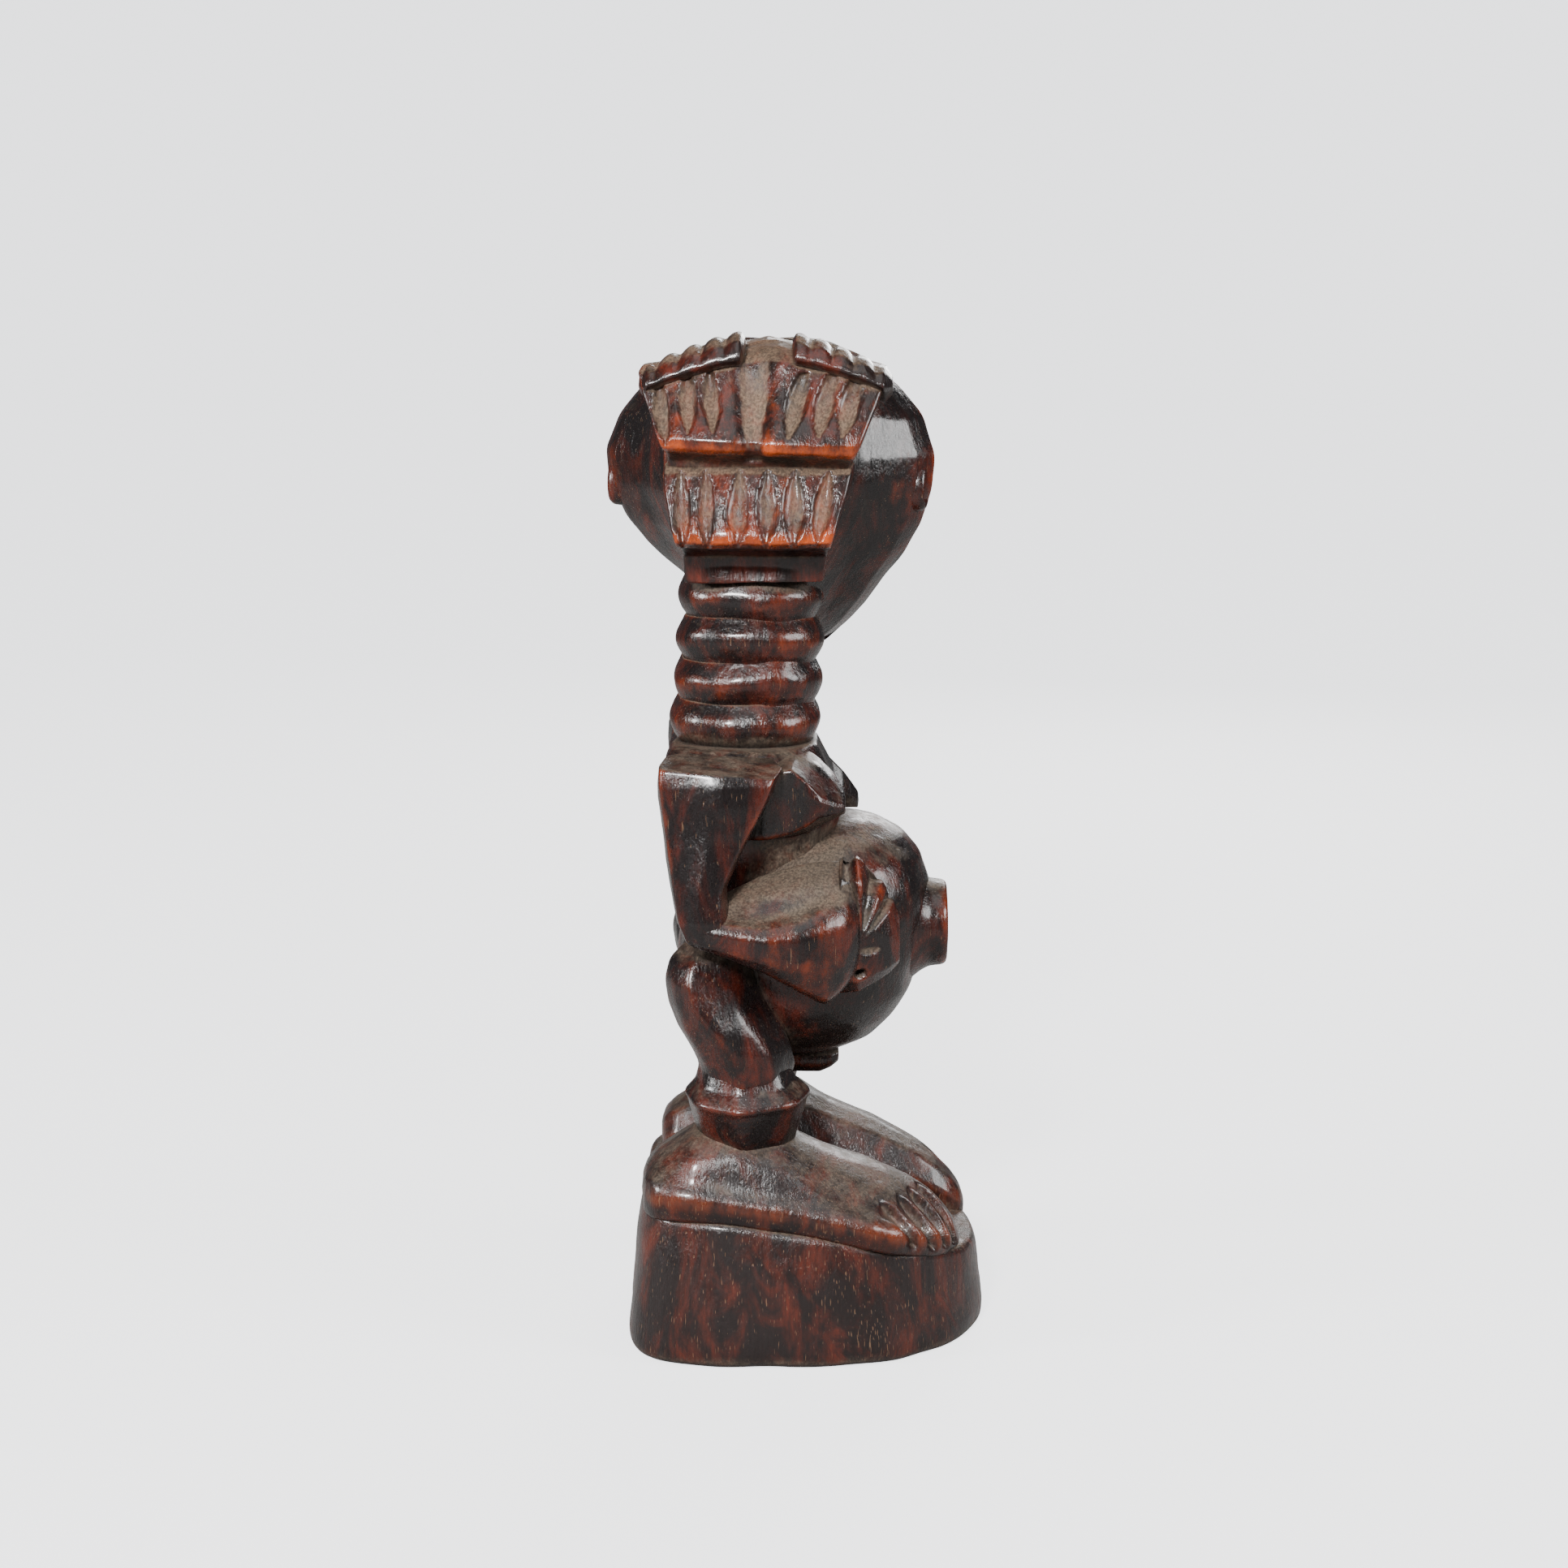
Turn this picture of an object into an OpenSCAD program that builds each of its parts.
// Carved ancestor figure: it stands with bent legs on a base, its hands on a round
// belly, and its head turned to its own left. Millimetres.
// +Z is up, +X is the way the body faces and +Y is the figure's left.
// The origin is the centre of the underside of the base.

/* [Base] */
// Length of the base from back to front
base_length = 90; // [76:1:108]
// Width of the base from side to side
base_width = 90; // [75:1:108]
// Height of the base under the heels
base_heel_height = 37; // [30:1:45]
// Height of the base at its front edge
base_toe_height = 20; // [16:1:24]
// How far the base wall leans in from the bottom to the top
base_draft = 4; // [2:0.5:6]

/* [Feet] */
// Length of each foot
foot_length = 79; // [66:1:95]
// Width of each foot across the toes
foot_width = 35; // [29:1:40]
// Distance between the middles of the feet
foot_spacing = 48; // [44:1:56]
// How far the left foot stands in front of the right
left_foot_forward = 3; // [0:0.5:5]
// Height of the instep above the sole
instep_height = 17; // [14:0.5:21]

/* [Legs] */
// Width of the leg at the ankle
ankle_width = 26; // [21:0.5:31]
// Width of the leg at the sharp rim of the calf
calf_width = 31.5; // [28:0.5:38]
// Width of the leg at the knee
knee_width = 23; // [19:0.5:28]
// Height from the ankle to the knee
lower_leg_height = 19; // [15:0.5:23]
// Height from the knee to the middle of the belly
thigh_height = 28; // [23:0.5:34]

/* [Trunk] */
// Diameter of the round belly
belly_diameter = 62; // [52:0.5:70]
// Diameter of the navel stub
navel_diameter = 22; // [18:0.5:27]
// How far the navel stands out of the belly
navel_length = 6; // [5:0.5:8]
// Height from the middle of the belly to the top of the shoulders
chest_height = 49; // [43:0.5:59]
// Width of the chest between the arms
chest_width = 54; // [46:0.5:62]
// How far a breast stands out of the chest
breast_length = 9; // [7:0.5:11]

/* [Arms] */
// Width over the two upper arms
arm_span = 86; // [76:0.5:96]
// Height from the point of the elbow to the top of the shoulder
upper_arm_height = 43; // [36:0.5:48]
// Length of the forearm from the elbow to the wrist
forearm_length = 41; // [36:0.5:48]
// Length of the hand from the wrist to the fingertips
hand_length = 9; // [7:0.5:11]

/* [Neck] */
// Diameter of the neck over its rings
neck_diameter = 38.5; // [32:0.5:46]
// Height of one neck ring
neck_ring_height = 10.3; // [8.5:0.1:12.5]
// Depth of the groove between two rings
neck_groove_depth = 1.9; // [1:0.1:3]

/* [Head] */
// Width of the head over the temples
head_width = 85; // [71:1:102]
// Height of the head from the chin to the crown
head_height = 78; // [65:1:94]
// Depth of the head from its widest line to the forehead
face_depth = 28; // [23:1:34]
// How far the head turns to its own left
head_turn = 76; // [0:1:78]
// How far the chin hangs below the top of the neck
chin_drop = 21; // [17:0.5:25]
// How far the crown stands above the top of the upper hair tier
crown_rise = 6; // [4.5:0.5:7.5]
// Height of an ear
ear_height = 17; // [14:0.5:21]

/* [Hair] */
// Width of the hair at its top edge
hair_top_width = 60; // [50:1:66]
// Width of the hair where it meets the neck
hair_foot_width = 35; // [29:1:40]
// How far the hair tiers stand behind the neck's axis
hair_overhang = 37; // [31:1:43]
// Height of the lower tier of the hair
lower_tier_height = 27; // [22:0.5:32]
// Height of the upper tier of the hair
upper_tier_height = 24; // [20:0.5:29]
// Width of the gap between the two crests
crest_gap = 12; // [8:0.5:16]
// Height of a crest above the upper tier
crest_height = 8; // [6:0.5:10]

/* [Hidden] */

RIGHT = -1;
LEFT = 1;
neck_ring_count = 4;              // rings carved round the neck, one node each
SIDES = 28;                       // corners of one outline
DARK_WOOD = [0.20, 0.11, 0.07];
RED_WOOD = [0.42, 0.17, 0.08];
DUSTY_WOOD = [0.36, 0.31, 0.26];

// Places that follow from the sizes above, from the ground up
leg_x = -15;                    // the legs stand over the heels
body_x = leg_x - 0.7;               // the spine and the neck's foot
leg_y = foot_spacing / 2 + 2;
foot_back = -foot_length / 2 - 1.5;
ankle_z = base_top(leg_x) + instep_height;
calf_z = ankle_z + 0.58 * lower_leg_height;
knee_z = ankle_z + lower_leg_height;
belly_z = knee_z + thigh_height;
belly_r = belly_diameter / 2;
belly_x = -1.8;
shoulder_z = belly_z + chest_height;
elbow_z = shoulder_z - upper_arm_height;
elbow_x = body_x - 12.3;
elbow_y = arm_span / 2;
wrist_x = elbow_x + forearm_length;
arm_in = max(0, elbow_y - 12 - belly_r);   // the forearms reach in to a narrow belly
hair_turn = 12;                   // the hair turns this much further than the face
hair_lean = 0.05;                 // and leans this much to its right for its height
neck_r = neck_diameter / 2;
neck_lean = 0.5;                  // each ring stands this much further forward
neck_top = shoulder_z + neck_ring_count * neck_ring_height;
neck_x = body_x + neck_ring_count * neck_lean;
head_x = neck_x + 1.2;
chin_z = neck_top - chin_drop;
temple = head_width / 2;
widest = 8;                       // the temples lie this far before the neck's axis
hair_z = chin_z + head_height - crown_rise;
tier_z = hair_z - upper_tier_height;
hair_foot_z = min(neck_top, tier_z - lower_tier_height);   // the hair always reaches the neck

// Height of the sloping top of the base at x
function base_top(x) =
  let (s = min(1, max(0, x / base_length + 0.5)))
  base_heel_height - (base_heel_height - base_toe_height) * s * s;

function signed_power(v, e) = sign(v) * pow(abs(v), e);

// A closed outline of one of three kinds, from a rounded diamond (p = 1.4) to a
// rounded box (p = 6). c is its middle and r its two half widths.
function oval(t, c, r, p) = [
  c[0] + r[0] * signed_power(cos(t), 2 / p),
  c[1] + r[1] * signed_power(sin(t), 2 / p)
];
// Rows of a level outline are [z, [x, y], [rx, ry], p]
function level(row) = [
  for (i = [0 : SIDES - 1])
    let (q = oval(360 * i / SIDES, row[1], row[2], row[3])) [q[0], q[1], row[0]]
];
// Rows of an upright outline across X are [x, [y, z], [ry, rz], p]
function upright(row) = [
  for (i = [0 : SIDES - 1])
    let (q = oval(360 * i / SIDES, row[1], row[2], row[3])) [row[0], q[0], q[1]]
];

function middle(ring) = [for (k = [0 : 2]) [for (q = ring) q[k]] * [for (q = ring) 1] / len(ring)];

// A closed skin over outlines with equal numbers of corners
module skin(rings) {
  n = len(rings[0]);
  m = len(rings);
  points = concat([for (r = rings) each r], [middle(rings[0]), middle(rings[m - 1])]);
  walls = [
    for (i = [0 : m - 2], j = [0 : n - 1])
      let (a = i * n + j, b = i * n + (j + 1) % n, c = b + n, d = a + n)
        each [[a, d, c], [a, c, b]]
  ];
  foot = [for (j = [0 : n - 1]) [m * n, j, (j + 1) % n]];
  crown = [for (j = [0 : n - 1]) [m * n + 1, (m - 1) * n + (j + 1) % n, (m - 1) * n + j]];
  polyhedron(points = points, faces = concat(walls, foot, crown));
}
module column(rows) skin([for (r = rows) level(r)]);
module beam(rows) skin([for (r = rows) upright(r)]);

// One carved element, with what its neighbours fill cut away from it. It stays one mesh.
module carved(colour) color(colour) resize([0, 0, 0]) difference() {
  children(0);
  if ($children > 1) children([1 : $children - 1]);
}
// Shapes are drawn for the left side and mirrored for the right
module on_side(side) mirror([0, side == RIGHT ? 1 : 0, 0]) children();

// ---------------------------------------------------------------- base and feet
module base_shape() {
  // the back is nearly straight and the front is round
  function ring(s, lift) = [
    for (i = [0 : 2 * SIDES - 1])
      let (t = 180 * i / SIDES, front = cos(t) > 0,
           q = oval(t, [0, 0], [base_length / 2 - s * (front ? 0.5 : 1), base_width / 2 - s],
                    front ? 2.15 : 5))
        [q[0], q[1], lift < 0 ? -lift : base_top(q[0]) - lift]
  ];
  skin([ring(1, -0.001), ring(0, -1.5), ring(0.6 * base_draft, 9), ring(base_draft, 2.5),
        ring(base_draft + 3, 0.4), ring(base_draft + 12, 0), ring(base_draft + 26, 0)]);
}
module base() carved(DARK_WOOD) base_shape();

module foot_shape(side) {
  // share of the length, shift towards the other foot, share of the width, rise above the sole
  rows = [[0, 0, 0.14, 0.2], [0.03, 0, 0.33, 0.55], [0.10, 0, 0.43, 0.82], [0.26, 0, 0.47, 1.0],
          [0.50, 0, 0.49, 1.0], [0.74, 0, 0.51, 0.93], [0.86, 1.5, 0.46, 0.78],
          [0.95, 4, 0.34, 0.55], [1.0, 6, 0.17, 0.25]];
  shift = side == LEFT ? left_foot_forward : 0;
  // the sole is flat, and the instep is highest towards the other foot
  on_side(side) skin([
    for (r = rows) [
      for (i = [0 : SIDES - 1])
        let (t = 360 * i / SIDES, x = foot_back + r[0] * foot_length,
             q = oval(t, [0, 0], [r[2] * foot_width, 1], sin(t) > 0 ? 2.3 : 5))
          [x + shift, foot_spacing / 2 - r[1] + q[0] - max(0, q[1]) * 0.12 * foot_width,
           base_top(x) + (q[1] > 0 ? q[1] * r[3] * instep_height : 2.5 * q[1])]
    ]
  ]);
}
module foot(side) carved(DUSTY_WOOD) { foot_shape(side); base_shape(); }

// ---------------------------------------------------------------- legs and hips
module lower_leg_shape(side) {
  ankle = ankle_width / 2;
  calf = calf_width / 2;
  knee = knee_width / 2;
  on_side(side) column([
    [ankle_z - 0.3 * instep_height, [leg_x, leg_y], [ankle - 0.8, ankle - 1], 2.3],
    [ankle_z, [leg_x - 1, leg_y], [ankle, ankle - 0.4], 2.3],
    [calf_z - 0.5, [leg_x, leg_y], [calf, calf], 2.3],
    [calf_z + 0.5, [leg_x, leg_y], [calf - 0.3, calf - 0.3], 2.2],
    [knee_z, [leg_x, leg_y], [knee, knee], 2]
  ]);
}
module lower_leg(side) carved(DARK_WOOD) { lower_leg_shape(side); foot_shape(side); }

module thigh_shape(side) {
  knee = knee_width / 2;
  rise = thigh_height / 28;
  on_side(side) column([
    [knee_z, [leg_x, leg_y], [knee, knee], 2],
    [knee_z + 6 * rise, [leg_x - 1.2, leg_y], [knee + 0.6, knee + 1], 2.1],
    [knee_z + 12 * rise, [leg_x - 4.2, leg_y + 0.5], [knee + 1, knee + 1.5], 2.2],
    [knee_z + 18 * rise, [leg_x - 6.4, leg_y + 0.5], [knee + 1.4, knee + 2], 2.3],
    [knee_z + 25 * rise, [leg_x - 6.8, leg_y], [knee + 1, knee + 1.5], 2.3],
    [knee_z + 32 * rise, [leg_x - 5.5, leg_y - 1], [knee - 2, knee - 2], 2.2]
  ]);
}
module thigh(side) carved(DARK_WOOD) { thigh_shape(side); belly_shape(); forearm_shape(side); }

module hips_shape() column([
  [knee_z + 3, [body_x + 2, 0], [8, 0.4 * leg_y], 2.4],
  [knee_z + 7, [body_x + 1, 0], [13, 0.75 * leg_y], 2.6],
  [belly_z - 11, [body_x - 0.6, 0], [16.6, leg_y], 2.8],
  [belly_z, [body_x - 0.4, 0], [16.4, leg_y + 1], 2.8],
  [belly_z + 11, [body_x + 0.5, 0], [14.5, leg_y - 1], 2.8]
]);
module hips() carved(DARK_WOOD) {
  hips_shape();
  thigh_shape(RIGHT);
  thigh_shape(LEFT);
  belly_shape();
  chest_shape();
  forearm_shape(RIGHT);
  forearm_shape(LEFT);
  upper_arm_shape(RIGHT);
  upper_arm_shape(LEFT);
}
module loin_tab() carved(DARK_WOOD) {
  beam([
    [belly_x - 8, [0, belly_z - belly_r - 1], [4.5, 4], 2.5],
    [belly_x + 4, [0, belly_z - belly_r - 1], [5, 4.6], 2.5],
    [belly_x + 8.5, [0, belly_z - belly_r + 0.5], [3.6, 3.4], 2.4],
    [belly_x + 10, [0, belly_z - belly_r + 0.8], [2, 2], 2.2]
  ]);
  belly_shape();
  hips_shape();
}

// ---------------------------------------------------------------- trunk
// The belly bulges forwards above its middle
module belly_shape() column([
  for (a = [-80 : 16 : 80])
    [belly_z + belly_r * signed_power(sin(a), 0.94), [belly_x + max(0, 7 * sin(a)), 0],
     [belly_r * pow(cos(a), 0.94), belly_r * cos(a)], 2.1]
]);
module belly() carved(RED_WOOD) belly_shape();

module navel() carved(RED_WOOD) {
  r = navel_diameter / 2;
  tip = belly_x + belly_r + navel_length;
  beam([
    [tip - navel_length - 7, [0, belly_z + 2.5], [r + 4, r + 4], 2],
    [tip - navel_length, [0, belly_z + 2.5], [r + 0.8, r + 0.8], 2.1],
    [tip - 1, [0, belly_z + 2.5], [r, r], 2.2],
    [tip, [0, belly_z + 2.5], [r - 1.2, r - 1.2], 2.2]
  ]);
  belly_shape();
}

module chest_shape() {
  half = chest_width / 2;
  column([
    [belly_z + 7, [body_x + 0.5, 0], [14.5, half - 4], 2.8],
    [belly_z + 0.45 * chest_height, [body_x + 1, 0], [16.5, half - 3], 3],
    [belly_z + 0.72 * chest_height, [body_x + 3.5, 0], [21, half], 3],
    [shoulder_z - 6, [body_x + 1.5, 0], [neck_r + 1.5, half + 1], 3],
    [shoulder_z - 1, [body_x, 0], [neck_r, half - 2], 2.8],
    [shoulder_z, [body_x, 0], [neck_r - 1, half - 6], 2.6]
  ]);
}
module chest() carved(DARK_WOOD) { chest_shape(); belly_shape(); }

module breast(side) carved(DUSTY_WOOD) {
  tip = body_x + 17 + breast_length;
  on_side(side) beam([
    [tip - breast_length - 8, [12, shoulder_z - 11], [9, 8.5], 2.2],
    [tip - 0.6 * breast_length, [16, shoulder_z - 11], [9, 9], 2],
    [tip, [20, shoulder_z - 12.5], [2.4, 3], 2]
  ]);
  chest_shape();
  belly_shape();
  upper_arm_shape(side);
}

// ---------------------------------------------------------------- arms
module upper_arm_shape(side) {
  rise = upper_arm_height / 43;
  on_side(side) column([
    [elbow_z, [elbow_x + 2, elbow_y - 2], [3, 3.2], 3],
    [elbow_z + 4 * rise, [elbow_x + 2, elbow_y - 3.5], [4.5, 5], 3.4],
    [elbow_z + 16 * rise, [elbow_x + 2.4, elbow_y - 6], [6.2, 6.4], 3.6],
    [elbow_z + 30 * rise, [elbow_x + 4, elbow_y - 8], [10, 7.5], 4],
    [elbow_z + 39 * rise, [elbow_x + 5.6, elbow_y - 11], [13.4, 10.4], 4],
    [shoulder_z - 1.5, [elbow_x + 5.8, elbow_y - 13], [14, 11.4], 4],
    [shoulder_z, [elbow_x + 6.2, elbow_y - 15.5], [13, 10.5], 3.6]
  ]);
}
module upper_arm(side) carved(RED_WOOD) { upper_arm_shape(side); chest_shape(); neck_ring_shape(1); }

module forearm_shape(side) {
  reach = forearm_length;
  deep = arm_in / 2;
  on_side(side) beam([
    [elbow_x - 1, [elbow_y - 1.4, elbow_z + 2], [2.2, 2.6], 2.6],
    [elbow_x + 0.08 * reach, [elbow_y - 2, elbow_z + 1.5], [4.6, 5.4], 2.8],
    [elbow_x + 0.42 * reach, [elbow_y - 4.6 - deep, elbow_z + 1], [7.6 + deep, 11], 2.8],
    [elbow_x + 0.68 * reach, [elbow_y - 7 - deep, elbow_z - 1.5], [8.8 + deep, 16.5], 2.6],
    [elbow_x + 0.88 * reach, [elbow_y - 9.6 - deep, elbow_z], [7.6 + deep, 17], 2.5],
    [wrist_x, [elbow_y - 11 - deep, elbow_z + 0.5], [5.6 + deep, 13], 2.4]
  ]);
}
module forearm(side) carved(RED_WOOD) {
  forearm_shape(side);
  belly_shape();
  upper_arm_shape(side);
  chest_shape();
}

module hand_shape(side) on_side(side) beam([
  [wrist_x - 4, [elbow_y - 13.5 - arm_in, elbow_z + 1.5], [5 + arm_in, 17], 2.5],
  [wrist_x, [elbow_y - 13.5 - arm_in, elbow_z + 1.5], [5 + arm_in, 17], 2.5],
  [wrist_x + 0.5 * hand_length, [elbow_y - 14 - arm_in, elbow_z - 1], [4.6 + arm_in, 13.5], 2.4],
  [wrist_x + hand_length, [elbow_y - 17 - arm_in, elbow_z - 4], [2.4, 6.5], 2.2]
]);
module hand(side) carved(DUSTY_WOOD) { hand_shape(side); belly_shape(); forearm_shape(side); }

// ---------------------------------------------------------------- neck
// Ring 1 is the lowest
module neck_ring_shape(i) {
  z = shoulder_z + (i - 1) * neck_ring_height;
  x = body_x + (i - 0.5) * neck_lean;
  r = neck_r - (i - 1) * 0.25;
  steps = [[0, 1], [0.16, 0.4], [0.34, 0.06], [0.5, 0], [0.66, 0.06], [0.84, 0.4], [1, 1]];
  column([
    for (s = steps)
      [z + s[0] * neck_ring_height, [x, 0],
       [r - s[1] * neck_groove_depth, r - 1 - s[1] * neck_groove_depth], 2.3]
  ]);
}
module neck_ring(i) carved(DARK_WOOD) neck_ring_shape(i);

// ---------------------------------------------------------------- head
// Drawn facing +X over the neck's axis, then turned to the left
module turned(extra = 0)
  translate([head_x, 0, 0]) rotate([0, 0, min(90, head_turn + extra)]) children();

module head_shape() {
  // share of the height, reach forward, reach back, share of the half width, shift sideways
  rows = [[0, 29, -16, 0.13, -3], [0.04, 33, -6, 0.26, -3], [0.10, 35, 0, 0.38, -3.5],
          [0.19, 35.5, 7, 0.52, -3.5], [0.30, 35.5, 13, 0.72, -2], [0.42, 36, 17, 0.90, -0.5],
          [0.54, 36, 19, 0.98, 0], [0.64, 35.5, 20, 1, 0], [0.76, 33.5, 20, 0.93, 0],
          [0.86, 29, 18, 0.77, 0], [0.94, 21, 13, 0.54, 0], [0.98, 14, 8, 0.34, 0],
          [1, 6, 2, 0.14, 0]];
  scale_x = (face_depth + widest) / 36;
  turned() skin([
    for (r = rows) [
      for (i = [0 : SIDES - 1])
        let (t = 360 * i / SIDES, middle_x = min(widest, (r[1] - r[2]) / 2) * scale_x,
             reach = cos(t) > 0 ? r[1] * scale_x - middle_x : middle_x + r[2] * scale_x,
             q = oval(t, [middle_x, r[4]], [reach, r[3] * temple], 2.2))
          [q[0], q[1], chin_z + r[0] * head_height]
    ]
  ]);
}
module neck_shape() for (i = [1 : neck_ring_count]) neck_ring_shape(i);
module head() carved(DUSTY_WOOD) { head_shape(); neck_shape(); }

module ear(side) carved(DARK_WOOD) {
  h = ear_height / 2;
  z = chin_z + 0.54 * head_height;
  turned() on_side(side) column([
    [z - h, [widest + 1, temple - 5.4], [2, 3], 2.4],
    [z - 0.6 * h, [widest, temple - 5], [4, 4.6], 2.6],
    [z, [widest - 1, temple - 4.4], [5, 5.2], 2.8],
    [z + 0.6 * h, [widest - 0.6, temple - 4.2], [4.6, 5], 2.8],
    [z + h, [widest, temple - 5], [2.6, 3.4], 2.4]
  ]);
  head_shape();
}

// ---------------------------------------------------------------- hair
// A tier is a rounded box; rows are [z, half width, reach back]
module tier_shape(rows) {
  inside = 4;                     // the front face lies this far behind the neck's axis
  turned(hair_turn) column([
    for (r = rows)
      [r[0], [-(inside + r[2]) / 2, -hair_lean * (r[0] - neck_top)],
       [(r[2] - inside) / 2, r[1]], 5]
  ]);
}
lip = 2.5;                        // height of a tier's rounded lip
tier_width = hair_foot_width / 2 + 0.45 * (hair_top_width - hair_foot_width) / 2;
module lower_tier_shape() tier_shape([
  [hair_foot_z, hair_foot_width / 2, neck_r - 2],
  [tier_z - 0.70 * lower_tier_height, hair_foot_width / 2 + 0.4, hair_overhang - 4],
  [tier_z - 0.70 * lower_tier_height + lip, hair_foot_width / 2 + 1, hair_overhang],
  [tier_z - 0.45 * lower_tier_height, hair_foot_width / 2 + 2, hair_overhang - 0.5],
  [tier_z - lip, tier_width - 0.4, hair_overhang - 5],
  [tier_z, tier_width, hair_overhang - 8]
]);
module lower_hair_tier() carved(RED_WOOD) { lower_tier_shape(); head_shape(); neck_shape(); }

module upper_tier_shape() tier_shape([
  [tier_z, tier_width, hair_overhang - 7],
  [tier_z + lip, tier_width + 0.6, hair_overhang - 1],
  [tier_z + 2 * lip, tier_width + 1.4, hair_overhang - 1],
  [hair_z - lip, hair_top_width / 2, hair_overhang - 10],
  [hair_z, hair_top_width / 2 - 0.6, hair_overhang - 12]
]);
module upper_hair_tier() carved(RED_WOOD) { upper_tier_shape(); head_shape(); }

module crest_shape(side) {
  lean = -side * hair_lean * (hair_z - neck_top);
  inner = crest_gap / 2 + lean;
  outer = hair_top_width / 2 - 0.5 + lean;
  depth = 7.5;                    // half of its reach from front to back
  back = hair_overhang - 19;
  lobes = 5;                      // round bumps along its top
  rows = [
    for (k = [0 : 2 * lobes])
      let (s = k / (2 * lobes), bump = k % 2 == 1 ? 1 : 0,
           top = hair_z + crest_height * (1 - s * s) - (1 - bump),
           foot = hair_z + 0.5 - 6 * s * s)
        [inner + s * (outer - inner), (top + foot) / 2, (top - foot) / 2]
  ];
  turned(hair_turn) on_side(side) multmatrix([[0, -1, 0, 0], [1, 0, 0, 0], [0, 0, 1, 0]])
    beam([for (r = rows) [r[0], [back, r[1]], [depth, r[2]], 3.4]]);
}
module crest(side) carved(DARK_WOOD) { crest_shape(side); head_shape(); upper_tier_shape(); }

base();
foot(RIGHT);  // right_foot
foot(LEFT);  // left_foot
lower_leg(RIGHT);  // right_lower_leg
lower_leg(LEFT);  // left_lower_leg
thigh(RIGHT);  // right_thigh
thigh(LEFT);  // left_thigh
hips();
loin_tab();
belly();
navel();
chest();
breast(RIGHT);  // right_breast
breast(LEFT);  // left_breast
upper_arm(RIGHT);  // right_upper_arm
upper_arm(LEFT);  // left_upper_arm
forearm(RIGHT);  // right_forearm
forearm(LEFT);  // left_forearm
hand(RIGHT);  // right_hand
hand(LEFT);  // left_hand
neck_ring(1);  // neck_ring_1
neck_ring(2);  // neck_ring_2
neck_ring(3);  // neck_ring_3
neck_ring(4);  // neck_ring_4
head();
ear(RIGHT);  // right_ear
ear(LEFT);  // left_ear
lower_hair_tier();
upper_hair_tier();
crest(RIGHT);  // right_crest
crest(LEFT);  // left_crest
